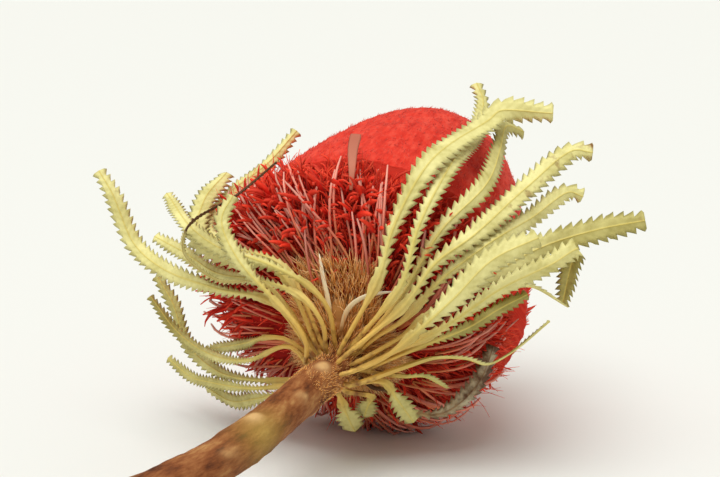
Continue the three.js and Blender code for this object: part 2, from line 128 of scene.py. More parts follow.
# %% Colour and node tools
def linear(colour):
    """An sRGB hex colour as linear red, green, blue and 1: the sRGB curve undone for each channel."""
    part = np.array([int(colour[i : i + 2], 16) for i in (1, 3, 5)]) / 255
    return (*np.where(part <= 0.04045, part / 12.92, ((part + 0.055) / 1.055) ** 2.4), 1.0)


def add(tree, kind, inputs={}, stops=(), **settings):
    """Adds a node. An input is a number, a hex colour or another node's output; stops fill a ramp."""
    node = tree.nodes.new("ShaderNode" + kind)
    for name, value in settings.items():
        setattr(node, name, value)
    for name, value in inputs.items():
        if isinstance(value, bpy.types.NodeSocket):
            tree.links.new(value, node.inputs[name])
        else:
            node.inputs[name].default_value = linear(value) if isinstance(value, str) else value
    if stops:
        ramp = node.color_ramp.elements
        for _ in stops[2:]:
            ramp.new(0.5)
        for element, (place, colour) in zip(ramp, stops):
            element.position = place
            element.color = linear(colour)
    return node


def new_finish(name):
    """An empty material and its node tree."""
    material = bpy.data.materials.new(name)
    material.use_nodes = True
    material.node_tree.nodes.clear()
    return material, material.node_tree


def read_mark(tree, name):
    """A number stored on the mesh under this name."""
    return add(tree, "Attribute", attribute_name=name).outputs["Fac"]


def mix(tree, share, first, second):
    """First colour times one minus the share, plus second colour times the share."""
    inputs = {0: share, 6: first, 7: second}
    return add(tree, "Mix", inputs, data_type="RGBA").outputs[2]


def show(tree, inputs):
    """A principled shader with these inputs, sent to the material's surface."""
    shader = add(tree, "BsdfPrincipled", inputs)
    add(tree, "OutputMaterial", {"Surface": shader.outputs[0]})


def per_mm(size):
    """The scale of a pattern whose features are that many millimetres apart, on metres."""
    return 1 / (size * MM)


print("red", np.round(linear("#c8323a"), 3))

# %% [markdown]
# ## Tools for shapes
# Every piece is a grid of points: rows along it and columns round it. Whole arrays of points and
# faces go into a mesh at once, which is much quicker than one vertex after another.

# %% Grids and pieces
def grid_faces(rows, columns, closed=True):
    """Quads that join each row to the next one, and the last column to the first if closed."""
    row = np.arange(rows - 1)[:, None] * columns
    column = np.arange(columns if closed else columns - 1)[None]
    beside = (column + 1) % columns
    above = row + columns
    corners = np.broadcast_arrays(row + column, row + beside, above + beside, above + column)
    return np.stack(corners, -1).reshape(-1, 4)


def end_faces(rows, columns):
    """The first ring and the last one, each closed by one face that looks outwards."""
    ring = np.arange(columns)[None]
    return ring[:, ::-1], ring + (rows - 1) * columns


def make_piece(name, points, faces, finish, nodes, uv=None, marks={}, face_marks={}):
    """Whole arrays into a mesh. Points are table millimetres, faces a list of corner arrays."""
    mesh = bpy.data.meshes.new(name)
    sizes = np.concatenate([np.full(len(part), part.shape[1]) for part in faces])
    corners = np.concatenate([part.ravel() for part in faces]).astype(np.int32)
    mesh.vertices.add(len(points))
    mesh.vertices.foreach_set("co", (points * MM).astype(np.float32).ravel())
    mesh.loops.add(len(corners))
    mesh.loops.foreach_set("vertex_index", corners)
    mesh.polygons.add(len(sizes))
    starts = np.concatenate([[0], np.cumsum(sizes)[:-1]])
    mesh.polygons.foreach_set("loop_start", starts.astype(np.int32))
    mesh.polygons.foreach_set("use_smooth", np.ones(len(sizes), bool))
    for domain, values in (("POINT", marks), ("FACE", face_marks)):
        for mark, value in values.items():
            layer = mesh.attributes.new(mark, "FLOAT", domain)
            layer.data.foreach_set("value", value.astype(np.float32))
    if uv is not None:
        layer = mesh.uv_layers.new(name="run")
        layer.data.foreach_set("uv", uv[corners].astype(np.float32).ravel())
    mesh.materials.append(finish)
    mesh.update(calc_edges=True)
    mesh.validate()
    piece = bpy.data.objects.new(name, mesh)
    bpy.context.scene.collection.objects.link(piece)
    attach(piece, "root")
    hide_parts(*nodes)
    print(name, (sizes - 2).sum(), "triangles")
    return piece


print("a grid of 4 rows and 3 columns has", len(grid_faces(4, 3)), "quads")

# %% [markdown]
# ## Table
# A plain pale sheet. A little tone keeps it from looking like empty space, and its roughness keeps
# reflections out.

# %% Table sheet
pale_table, tree = new_finish("matt white table paper")
show(tree, {"Base Color": "#e9eae6", "Roughness": 0.7, "Specular IOR Level": 0.2})
table_mesh = bpy.data.meshes.new("table")
table_mesh.from_pydata([(-6, -2, 0), (6, -2, 0), (6, 12, 0), (-6, 12, 0)], [], [(0, 1, 2, 3)])
table_mesh.materials.append(pale_table)
table = bpy.data.objects.new("table", table_mesh)
bpy.context.scene.collection.objects.link(table)
print("table sheet of", len(table_mesh.vertices), "corners")

# %% [markdown]
# ## Stem
# A branch as thick as a finger's tip, with thin brown bark. Old leaf scars stand out of it, pale
# where the bark has rubbed off, one stretch is still greenish, and it grows furry towards the head.
# It is a tube: a ring of points carried along a smooth path, pushed out by scars and uneven relief.

# %% Paths and relief
def rough(points, size, seed):
    """Uneven relief from about -1 to 1: sine waves in chance directions, three octaves of them."""
    chance = np.random.default_rng(seed)
    relief = np.zeros(points.shape[:-1])
    for octave in range(3):
        waves = unit(chance.normal(size=(9, 3))) * 2 * np.pi * 2**octave / size
        phase = chance.random(9) * 2 * np.pi
        relief += np.sin(points @ waves.T + phase).mean(-1) / 1.6**octave
    return relief


def smooth_path(knots, per_span=48):
    """A curve through the knots: between two of them the cubic whose end slopes come from the knots on
    either side, with spans weighted by the square root of their length."""
    knots = np.asarray(knots, float)
    ends = np.vstack([2 * knots[0] - knots[1], knots, 2 * knots[-1] - knots[-2]])
    span = np.sqrt(np.linalg.norm(np.diff(ends, axis=0), axis=1))[:, None]
    a, b, c, d = ends[:-3], ends[1:-2], ends[2:-1], ends[3:]
    before, here, after = span[:-2], span[1:-1], span[2:]
    slope_b = ((b - a) / before - (c - a) / (before + here) + (c - b) / here) * here
    slope_c = ((c - b) / here - (d - b) / (here + after) + (d - c) / after) * here
    t = np.linspace(0, 1, per_span, endpoint=False)[None, :, None]
    b, c, slope_b, slope_c = (part[:, None] for part in (b, c, slope_b, slope_c))
    square = 3 * (c - b) - 2 * slope_b - slope_c
    cube = 2 * (b - c) + slope_b + slope_c
    curve = b + t * slope_b + t**2 * square + t**3 * cube
    return np.vstack([curve.reshape(-1, 3), knots[-1]])


def lengths(path):
    """The distance walked along a path up to each of its points."""
    return np.concatenate([[0], np.cumsum(np.linalg.norm(np.diff(path, axis=0), axis=1))])


def at_distance(path, distance):
    """Points of a path at given distances along it."""
    walked = lengths(path)
    return np.stack([np.interp(distance, walked, path[:, i]) for i in range(3)], -1)


corner = smooth_path([(0, 0, 0), (1, 0, 0), (1, 1, 0)])
print("a rounded corner of two unit steps is", round(lengths(corner)[-1], 3), "long")

# %% Stem path and its ring directions
STEM_TOP_STATION = -0.6
STEM_BEND_STATION = -7.4  # up to here the stem runs along the head's axis
STEM_TOP_RADIUS = 3.9
STEM_END_RADIUS = 4.4
STEM_PATH = [
    [-7.5, -17.2, -4.6],
    [-17.7, -41.2, -7.3],
    [-26.2, -54.6, -9.2],
    [-37, -65, -12],
    [-55, -83.5, -23.1],
]
# Share of the way down the stem, and turn round it in degrees.
SCARS = [(0.16, 256), (0.22, 120), (0.29, 230), (0.37, 40), (0.44, 270), (0.55, 230), (0.64, 120),
         (0.73, 320), (0.83, 190)]
stem_knots = np.vstack([AXIS * STEM_TOP_STATION, AXIS * STEM_BEND_STATION, STEM_PATH]) + HEAD_BASE
stem_line = smooth_path(stem_knots)
STEM_LENGTH = lengths(stem_line)[-1]


def stem_radius(share):
    """From the top radius to the end radius over the first five eighths of the stem."""
    return STEM_TOP_RADIUS + (STEM_END_RADIUS - STEM_TOP_RADIUS) * np.minimum(1, 1.6 * share)


def ring_directions(tangent):
    """Two directions square to each tangent, carried along without twist by projecting the last one."""
    normal = np.eye(3)[np.argmin(np.abs(tangent[0]))]
    normal = np.cross(tangent[0], unit(np.cross(tangent[0], normal)))
    normals = []
    for direction in tangent:
        normal = unit(normal - direction * (normal @ direction))
        normals.append(normal)
    normals = np.array(normals)
    return normals, np.cross(tangent, normals)


print("stem", round(STEM_LENGTH, 1), "mm long")

# %% [markdown]
# The bark is a blotched red-brown skin with fine grain along the branch, rubbed tan at the scars, with
# one green stretch. It is dull and dry to the eye.

# %% Stem finish
bark, tree = new_finish("thin brown bark")
run = add(tree, "UVMap", uv_map="run").outputs[0]
stretched = add(tree, "Mapping", {"Vector": run, "Scale": (0.4, 1, 1)}).outputs[0]
grain = add(tree, "TexNoise", {"Vector": stretched, "Scale": 1.5, "Detail": 5, "Roughness": 0.6})
blotch = add(tree, "TexNoise", {"Vector": stretched, "Scale": 0.3, "Detail": 4, "Roughness": 0.6})
both = add(tree, "Math", {0: grain.outputs["Fac"], 1: 0.3, 2: blotch.outputs["Fac"]},
           operation="MULTIPLY_ADD")
brown = add(tree, "ValToRGB", {"Fac": both.outputs[0]},
            [(0.46, "#552a12"), (0.6, "#824822"), (0.72, "#9c6236"), (0.9, "#bd8d55")])
greener = mix(tree, read_mark(tree, "green"), brown.outputs[0], "#b59a48")
rubbed = mix(tree, read_mark(tree, "scar"), greener, "#ddb378")
ridges = add(tree, "Bump", {"Height": grain.outputs["Fac"], "Strength": 0.6, "Distance": 0.5 * MM})
show(tree, {"Base Color": rubbed, "Normal": ridges.outputs[0], "Roughness": 0.75,
            "Specular IOR Level": 0.25})
print(bark.name, len(tree.nodes), "nodes")

# %% [markdown]
# The tube's ring is pushed out by the scars and by uneven relief. The lowest points are pressed flat on
# the table. Each point also stores how bare of bark and how green it is, for the finish to read.

# %% Stem tube
STEM_ROWS, STEM_COLUMNS = 240, 56
SCAR_RISE, SCAR_HALF_TURN, SCAR_HALF_SHARE = 0.5, 0.42, 0.024
FURROW_RISE, KNUCKLE_RISE = 0.22, 0.3
GREEN_SHARE, GREEN_LENGTH, GREEN_TURN = 0.45, 6, 3.8
LOWEST_BARK = 0.05
share = np.linspace(0, 1, STEM_ROWS)
stem_middle = at_distance(stem_line, share * STEM_LENGTH)
stem_tangent = unit(np.gradient(stem_middle, axis=0))
stem_normal, stem_binormal = ring_directions(stem_tangent)
turn = np.arange(STEM_COLUMNS) * 2 * np.pi / STEM_COLUMNS
cosine, sine = np.cos(turn)[None, :, None], np.sin(turn)[None, :, None]
out = stem_normal[:, None] * cosine + stem_binormal[:, None] * sine
scar_at, scar_turn = np.array(SCARS).T
gap = turn[None, :, None] - np.radians(scar_turn)
across = np.arctan2(np.sin(gap), np.cos(gap)) / SCAR_HALF_TURN
along = (share[:, None, None] - scar_at) / SCAR_HALF_SHARE
bulge = np.exp(-(across**2) - along**2).sum(-1)
surface = stem_middle[:, None] + out * stem_radius(share)[:, None, None]
furrow = rough(surface * [0.3, 0.3, 1], 4.0, 3)
knuckle = rough(surface, 11.0, 4)
surface = surface + out * (SCAR_RISE * bulge + FURROW_RISE * furrow + KNUCKLE_RISE * knuckle)[..., None]
# Both ends are slightly hollow: two narrower rings, then one face over what is left.
closing = np.array([0.95, 0.5])[:, None, None]
top_rings = surface[:1] * closing[::-1] + stem_middle[0] * (1 - closing[::-1])
cut_rings = surface[-1:] * closing + (stem_middle[-1] - 0.3 * stem_tangent[-1]) * (1 - closing)
surface = np.concatenate([top_rings, surface, cut_rings])
surface[..., 2] = np.maximum(surface[..., 2], LOWEST_BARK)
rows = len(surface)
round_mm = np.broadcast_to(turn * STEM_END_RADIUS, (rows, STEM_COLUMNS))
along_mm = np.broadcast_to(np.linspace(0, STEM_LENGTH, rows)[:, None], (rows, STEM_COLUMNS))
bare = bulge**2 * np.clip(0.6 + 0.9 * furrow + knuckle, 0.15, 1)
bare = np.pad(bare, ((2, 2), (0, 0)), mode="edge")
bare[-2:] = 1  # the cut end
green_along = np.exp(-(((along_mm - GREEN_SHARE * STEM_LENGTH) / GREEN_LENGTH) ** 2))
green_place = green_along * (0.5 + 0.5 * np.cos(turn - GREEN_TURN)) ** 2
make_piece("stem_bark", surface.reshape(-1, 3),
           [grid_faces(rows, STEM_COLUMNS), *end_faces(rows, STEM_COLUMNS)], bark, ["stem"],
           uv=np.stack([along_mm, round_mm], -1).reshape(-1, 2),
           marks={"scar": np.clip(1.2 * bare, 0, 0.85).ravel(), "green": (0.6 * green_place).ravel()})

# %% [markdown]
# ## Leaves
# Twenty-eight stiff, narrow leaves spring from the stem just under the head. Each is a slim stalk, a
# fine yellow rib and a blade that widens to a blunt tip, cut into forward-pointing saw teeth. We mostly
# see the pale underside; the upper side is a darker olive. A leaf could be drawn flat and bent with a
# curve modifier, but the teeth would then be bent too. Here the ring of a flattened tube is carried
# along the rib instead, with rings exactly at each tooth's notch and tip, so that the teeth stay sharp.

# %% Where each leaf runs
# Root (azimuth, distance below the head), roll at stalk and tip, width in millimetres across the teeth,
# rib points (azimuth, radius, station).
LEAVES = [
    ((18, 9.5), (0, -15), 6.6,
     [(27, 23, -2), (24, 31, 5), (26, 41, 16), (37, 41, 41), (39, 42.5, 45), (50, 49.5, 47)]),
    ((32, 8), (0, -10), 5,
     [(38, 19.5, -5.5), (38, 25.5, -3), (32, 34, 5), (32, 40.5, 19.5), (37, 34, 46), (34, 33, 59),
      (29, 33.5, 63)]),
    ((48, 6.5), (-5, 10), 5.4,
     [(43, 20, -2.5), (42, 24.5, 2), (40, 33, 9), (44, 40.5, 20.5), (45, 38.5, 38), (44, 38.5, 47),
      (51, 38, 51)]),
    ((36, 12.5), (-10, -30), 6,
     [(46, 22, -4), (45, 30, 3), (49, 37.5, 9), (56, 42.5, 29), (59, 50.5, 41), (62, 53.5, 42)]),
    ((58, 5.5), (-10, -10), 5.2,
     [(52, 11, -5), (55, 17.5, -3), (54, 22, 0), (52, 28, 3), (54, 37.5, 9), (63, 41, 25), (66, 47, 35),
      (69, 49, 36)]),
    ((66, 9), (-15, -35), 6.4,
     [(65, 15, -4), (62, 22.5, -1), (64, 34, 8), (68, 44, 18), (70, 55.5, 22), (71, 65, 23)]),
    ((72, 13.5), (-15, -17), 6.2,
     [(72, 9, -9), (67, 14, -8), (63, 19, -6.5), (57, 31.5, -2.5), (55, 41, 2.5), (59, 49, 9)]),
    ((80, 9.5), (-20, -10), 5.2,
     [(72, 13.5, -6), (69, 24, -3), (67, 37, 5), (69, 47, 12), (69, 51.5, 15), (75, 48, 17),
      (89, 43.5, 19)]),
    ((90, 5.5), (30, 60), 3.2,
     [(75, 15, -3), (74, 24.5, 2), (73, 31, 5.5), (72, 37, 9), (74, 40.5, 11), (84, 46.5, 13)]),
    ((104, 6.5), (-25, -30), 3.6,
     [(80, 11, -6.5), (77, 17, -4), (78, 27.5, 2), (76, 34, 6), (77, 39, 11)]),
    ((110, 12), (40, 50), 2.2,
     [(91, 13.5, -6), (87, 20.5, -3), (92, 26.5, 0), (97, 30.5, 2), (93, 35, 4), (85, 43, 9)]),
    ((112, 5.5), (20, 40), 2.8,
     [(105, 14, -4.5), (104, 18, -3), (117, 23.5, 1)]),
    ((138, 5.5), (-30, -50), 4.6,
     [(134, 9.5, -6), (130, 12, -5), (140, 19.5, -3), (131, 25.5, -1), (113, 29, 3), (97, 30.5, 8)]),
    ((126, 8.5), (-25, -25), 5.2,
     [(105, 10.5, -8), (124, 14.5, -7), (141, 22, -4)]),
    ((152, 9.5), (0, 10), 5.4,
     [(134, 9.5, -8.5), (155, 12, -6.5), (173, 18, -3)]),
    ((-176, 9.5), (-28, -25), 6.4,
     [(-179, 6, -9.5), (-180, 10.5, -8.5), (180, 20.5, -5)]),
    ((-138, 8), (20, 40), 4.6,
     [(-128, 20.5, -4), (-126, 30.5, -1), (-125, 40.5, 3), (-120, 48.5, 8)]),
    ((-128, 12), (30, 60), 3.4,
     [(-121, 15, -6.5), (-119, 28, -2.5), (-116, 41.5, 3), (-115, 50, 7.5), (-111, 57, 12.5)]),
    ((-112, 6), (25, 80), 4.2,
     [(-123, 17, -3), (-117, 29, 0), (-114, 41, 6), (-107, 49, 12), (-99, 52, 18), (-93, 56.5, 22)]),
    ((-98, 9.5), (25, 80), 3.2,
     [(-75, 11, -6), (-105, 26, -1), (-106, 39.5, 5), (-101, 48.5, 10), (-92, 54, 13)]),
    ((-90, 7), (20, 45), 3.4,
     [(-71, 12, -5), (-82, 17.5, -3), (-101, 27, 3), (-108, 42, 8.5)]),
    ((-50, 11), (20, 60), 5.2,
     [(-45, 18.5, -4.5), (-69, 31.5, 1.5), (-77, 46.5, 8), (-77, 56.5, 14), (-70, 65, 20),
      (-68, 70, 23)]),
    ((-18, 9.5), (20, 55), 4.4,
     [(-3, 13.5, -9.5), (-13, 19.5, -8.5), (-39, 24, -4), (-64, 33, 3), (-71, 42, 10), (-76, 52.5, 17)]),
    ((-4, 6.5), (20, 60), 4.2,
     [(-1, 15.5, -6.5), (-11, 21.5, -6.5), (-25, 27.5, -6), (-44, 35, -2), (-49, 41.5, 1),
      (-61, 51.5, 17)]),
    ((-46, 8.5), (20, 70), 6,
     [(-26, 24, -4), (-48, 31.5, 0), (-54, 39.5, 3.5), (-55, 43, 15), (-58, 42.5, 30)]),
    ((-34, 7.5), (20, 80), 4.6,
     [(-27, 23.5, -1.5), (-48, 31.5, 3.5), (-54, 39, 7.5), (-60, 39.5, 25.5), (-59, 35.5, 42),
      (-49, 34, 50)]),
    ((-66, 6.5), (-30, -20), 1.6,
     [(-31, 24, -7.5), (-59, 32, -1.5), (-57, 40.5, -0.5), (-46, 43, -0.5), (-35, 39.5, 8),
      (-21, 40.5, 13)]),
    ((-50, 15), (30, 40), 4.2,
     [(-23, 9.5, -12.5), (-22, 14.5, -11.5), (-30, 23, -9.5), (-35, 32, -6.5), (-37, 39, 0),
      (-32, 41, 4)]),
]
print(len(LEAVES), "leaves")

# %% [markdown]
# One function makes every leaf's finish, so that fresh and withered leaves differ by colours alone.

# %% Leaf finish
def leaf_finish(name, pale, shade, upper, yellow, dead):
    """Dry leathery leaf: mottled pale underside, darker upper side, yellow rib, tan stalk, side veins to
    the teeth and brown specks where it is marked as dry."""
    material, tree = new_finish(name)
    place = add(tree, "TexCoord").outputs["Object"]
    mottle = add(tree, "TexNoise", {"Vector": place, "Scale": per_mm(6), "Detail": 6, "Roughness": 0.65})
    under = add(tree, "ValToRGB", {"Fac": mottle.outputs["Fac"]}, [(0.34, shade), (0.6, pale)])
    run = add(tree, "UVMap", uv_map="run").outputs[0]
    parts = add(tree, "SeparateXYZ", {0: run})
    sideways = add(tree, "Math", {0: parts.outputs["Y"]}, operation="ABSOLUTE").outputs[0]
    slant = add(tree, "Math", {0: sideways, 1: -1.1, 2: parts.outputs["X"]}, operation="MULTIPLY_ADD")
    slanted = add(tree, "CombineXYZ", {0: slant.outputs[0]}).outputs[0]
    # The run is counted in teeth, so one band of the wave is one side vein.
    vein = add(tree, "TexWave", {"Vector": slanted, "Scale": 0.314, "Distortion": 0.6, "Detail": 2})
    faint = add(tree, "Math", {0: vein.outputs["Fac"], 1: 0.35}, operation="MULTIPLY").outputs[0]
    veined = mix(tree, faint, under.outputs[0], pale)
    inner = read_mark(tree, "inner")
    olive = read_mark(tree, "olive")
    turned = add(tree, "Math", {0: inner, 1: olive}, operation="MAXIMUM").outputs[0]
    topside = add(tree, "ValToRGB", {"Fac": mottle.outputs["Fac"]}, [(0.3, upper), (0.75, shade)])
    faced = mix(tree, turned, veined, topside.outputs[0])
    ribbed = mix(tree, read_mark(tree, "rib"), faced, yellow)
    stalked = mix(tree, read_mark(tree, "stalk"), ribbed, "#e2b456")
    speck = add(tree, "TexNoise", {"Vector": place, "Scale": per_mm(2.2), "Detail": 3})
    dry = read_mark(tree, "dry")
    spotted = add(tree, "Math", {0: speck.outputs["Fac"], 1: dry}, operation="ADD").outputs[0]
    brown = add(tree, "ValToRGB", {"Fac": spotted}, [(0.7, "#000000"), (0.95, "#ffffff")]).outputs[0]
    aged = mix(tree, brown, stalked, dead)
    ridges = add(tree, "Bump", {"Height": vein.outputs["Fac"], "Strength": 0.2, "Distance": 0.25 * MM})
    show(tree, {"Base Color": aged, "Normal": ridges.outputs[0], "Roughness": 0.55,
                "Specular IOR Level": 0.3})
    return material


dried_leaf = leaf_finish("dried olive leaf", "#f1e9a0", "#cbc072", "#887a2e", "#dcc866", "#8a5a2c")
withered_leaf = leaf_finish("withered brown leaf", "#c2b798", "#94774f", "#5c3c22", "#94704a", "#5a3a20")
half_withered = leaf_finish("half withered leaf", "#dcd28c", "#c2b466", "#b5a860", "#b49a50", "#5a381c")
SPECIAL_LEAVES = {13: (withered_leaf, "withered_leaf"), 27: (half_withered, "withered_leaf")}
print("leaf finishes:", dried_leaf.name, withered_leaf.name, half_withered.name)

# %% [markdown]
# A leaf starts inside the bark and leaves it through its stalk. Its rings lie close together, four to a
# tooth.

# %% Leaf root and rings
STALK_LENGTH = 17
STALK_HALF_WIDTH = 0.48
TOOTH_TIP = 0.78  # a tooth's tip, as a share of the pitch
ROOT_DEPTH, ROOT_GAP = 1.2, 0.35  # how far a stalk starts inside the bark, and how far it then clears it
STALK_RINGS = 8


def smoothstep(value, low, high):
    """0 below low, 1 above high, an S curve between."""
    t = np.clip((value - low) / (high - low), 0, 1)
    return t * t * (3 - 2 * t)


def leaf_root(azimuth, below):
    """A place on the bark at an azimuth, and one inside the wood under it, where the stalk starts."""
    distance = below + STEM_TOP_STATION
    centre, ahead = in_head(at_distance(stem_line, np.array([distance, distance + 0.1])))
    tangent = unit(ahead - centre)
    out = polar(azimuth, 1, 0)
    out = unit(out - tangent * (out @ tangent))
    reach = stem_radius(distance / STEM_LENGTH)
    return centre + out * (reach - ROOT_DEPTH), centre + out * (reach + ROOT_GAP + STALK_HALF_WIDTH)


def leaf_rings(length, stalk, teeth):
    """Distances of the rings along a leaf, and how deep into a notch each one lies (1) or at a tip (0)."""
    phase = np.array([0, 0.26, 0.52, TOOTH_TIP])
    blade = stalk + (np.arange(teeth)[:, None] + phase) * (length - stalk) / teeth
    notch = np.tile(1 - phase / TOOTH_TIP, (teeth, 1))
    notch[0, 0] = 0.2
    distance = np.concatenate([np.linspace(0, stalk, STALK_RINGS + 1)[:-1], blade.ravel(), [length]])
    return distance, np.concatenate([np.zeros(STALK_RINGS), notch.ravel(), [0.5]])


def leaf_frame(path, distance, roll):
    """Rib points, and at each the way along the leaf, across it and out of its face. Across goes round the
    head, turned about the rib by the roll (degrees at stalk and tip)."""
    middle = at_distance(path, distance)
    tangent = unit(at_distance(path, distance + 0.2) - at_distance(path, distance - 0.2))
    around = np.stack([-middle[:, 1], middle[:, 0], np.zeros(len(middle))], -1)
    around = unit(around - tangent * (around * tangent).sum(-1, keepdims=True))
    share = distance / distance[-1]
    turn = np.radians(roll[0] + (roll[1] - roll[0]) * smoothstep(share, 0.15, 0.9))[:, None]
    across = around * np.cos(turn) + np.cross(tangent, around) * np.sin(turn)
    return middle, tangent, across, np.cross(across, tangent)


print("leaf 1 starts at", leaf_root(*LEAVES[0][0])[0].round(1), "mm in the head's frame")

# %% [markdown]
# Across the leaf there is a toothed edge, a few columns of blade and a rounded rib. The blade is folded
# a little along the rib, waves at its edge, and thins out towards it.

# %% Leaf section
BLADE_THICKNESS = 0.36
BLADE_BASE = 0.42  # the blade's width where it leaves the stalk, as a share of the full one
TOOTH_DEPTH = 0.58  # as a share of the pitch
TIP_NARROWING = 0.28
SIDE_COLUMNS = np.array([1, 0.72, 0.42, 0.15])
RIB_COLUMNS = np.array([1, 0.5, 0, -0.5, -1])


def leaf_widths(distance, along, notch, stalk, width, pitch, chance):
    """Half widths at each ring: the plain leaf, the depth of its teeth, the rib, the line through the
    notches, and the toothed edge, which is the plain leaf less a chance part of the depth."""
    base = max(BLADE_BASE * width / 2, STALK_HALF_WIDTH + 0.15)
    blunt = 1 - TIP_NARROWING * smoothstep(along, 0.84, 1)
    full = (base + (width / 2 - base) * smoothstep(along, 0, 0.5)) * blunt
    slim = STALK_HALF_WIDTH + 0.02
    foot = slim + (base - slim) * smoothstep(distance, stalk - 4, stalk)
    full = np.where(distance < stalk, foot, full)[:, None]
    depth = TOOTH_DEPTH * pitch * smoothstep(along, 0.0, 0.12)[:, None]
    rib = (STALK_HALF_WIDTH * (1 - 0.72 * smoothstep(along, -0.1, 0.55)))[:, None]
    inside = np.maximum(full - depth, rib + 0.03)
    edge = np.maximum(full - depth * notch[:, None] * chance.uniform(0.8, 1.15, (len(notch), 1)), inside)
    return full, depth, rib, inside, edge


def leaf_section(distance, along, notch, stalk, widths, chance):
    """Places across each ring, the heights of the outer and the inner face there, and how far the teeth
    hook forward. A height is fold + wave, plus or minus the skin and the rib's half circle."""
    full, depth, rib, inside, edge = widths
    sides = rib + SIDE_COLUMNS * (inside - rib)
    sides[:, :1] = edge
    place = np.concatenate([sides, rib * RIB_COLUMNS, -sides[:, ::-1]], axis=1)
    on_blade = smoothstep(distance, stalk - 3, stalk + 6)[:, None]
    limb = np.abs(place) / edge
    bulge = np.sqrt(np.maximum(0, 1 - (place / rib) ** 2)) * rib
    fold = chance.uniform(0.15, 0.4)
    ripple = distance[:, None] / chance.uniform(3.2, 4.6) + np.sign(place) + chance.uniform(0, 6)
    wave = 0.3 * np.sin(ripple)
    bent = on_blade * (fold * (0.45 * full - np.abs(place)) + wave * (place / full) ** 2)
    skin = BLADE_THICKNESS / 2 * np.sqrt(np.maximum(0, 1 - limb**4))
    outer = bent + skin + bulge * (1 - 0.3 * on_blade)
    inner = bent - skin - bulge * (0.9 - 1.05 * on_blade)
    forward = 0.4 * depth * (1 - notch[:, None]) ** 2 * (1 - smoothstep(along, 0.93, 1))[:, None]
    hook = on_blade * forward * np.maximum(0, limb - 0.9) * 10
    return place, outer, inner, hook


print(2 * len(SIDE_COLUMNS) + len(RIB_COLUMNS), "columns on each face of a leaf")

# %% [markdown]
# A leaf's upper side is the one that faces the head's axis. Faces store which side they are on, and
# points store how brown, how olive and how tan they are.

# %% Leaf faces and tones
# Leaf number: how olive and how brown it is, at the stalk and at the tip.
OLIVE = {3: (0, 0.5), 6: (0, 0.7), 10: (0.8, 0.9), 12: (0.5, 0.5), 14: (0.5, 0.4), 15: (0.5, 0.4),
         16: (0.4, 0.3), 17: (0.2, 0.4), 18: (0.3, 0.5), 19: (0.2, 0.7), 20: (0.2, 0.8), 21: (0.6, 0.4),
         24: (0.2, 0), 27: (0, 0.3), 28: (0.1, 0.2)}
BROWN = {4: (0, 0.12), 9: (0, 0.1), 13: (0.3, 0.4), 19: (0, 0.15), 20: (0, 0.15), 27: (-0.25, 0.6)}


def leaf_faces(rows, columns):
    """The tube's quads and its two flat ends, then 1 for each face of the upper side and 0 for the rest."""
    half = columns // 2 + 1
    upper = np.tile(np.arange(columns) < half - 1, rows - 1)
    step = np.arange(1, half - 2)
    back = columns - step
    cap = np.stack([step, back, back - 1, step + 1], -1)
    corner = np.array([[0, columns - 1, 1], [half - 2, columns - half + 2, half - 1]])
    last = (rows - 1) * columns
    caps = np.concatenate([cap, cap[:, ::-1] + last])
    corners = np.concatenate([corner, corner[:, ::-1] + last])
    upper = np.concatenate([upper, np.zeros(len(caps) + len(corners))])
    return [grid_faces(rows, columns), caps, corners], upper


def from_to(pair, along):
    """The pair's first number at the stalk, its second near the tip."""
    return pair[0] + (pair[1] - pair[0]) * smoothstep(along, 0.4, 0.7)


def leaf_tones(number, distance, along, stalk, chance):
    """How dry, how olive and how tan each ring is: the leaf's own numbers and a little chance."""
    dry = 0.12 * smoothstep(along, 0.93, 1.0) + 0.3 * (1 - smoothstep(distance, 4, 14))
    dry = dry + from_to(BROWN.get(number, (0, 0)), along) + chance.uniform(-0.08, 0.05)
    olive = from_to(OLIVE.get(number, (0, 0)), along) + chance.uniform(0, 0.15)
    olive = olive + 0.4 * (1 - smoothstep(along, 0, 0.25))
    tan = 0.85 * (1 - smoothstep(distance, 0.5 * stalk, 1.5 * stalk))
    return {"dry": dry, "olive": olive, "stalk": tan}


print(len(OLIVE), "leaves are partly olive and", len(BROWN), "partly brown")

# %% [markdown]
# Now all of it comes together: a path, its rings, their widths and heights, and the stored tones.

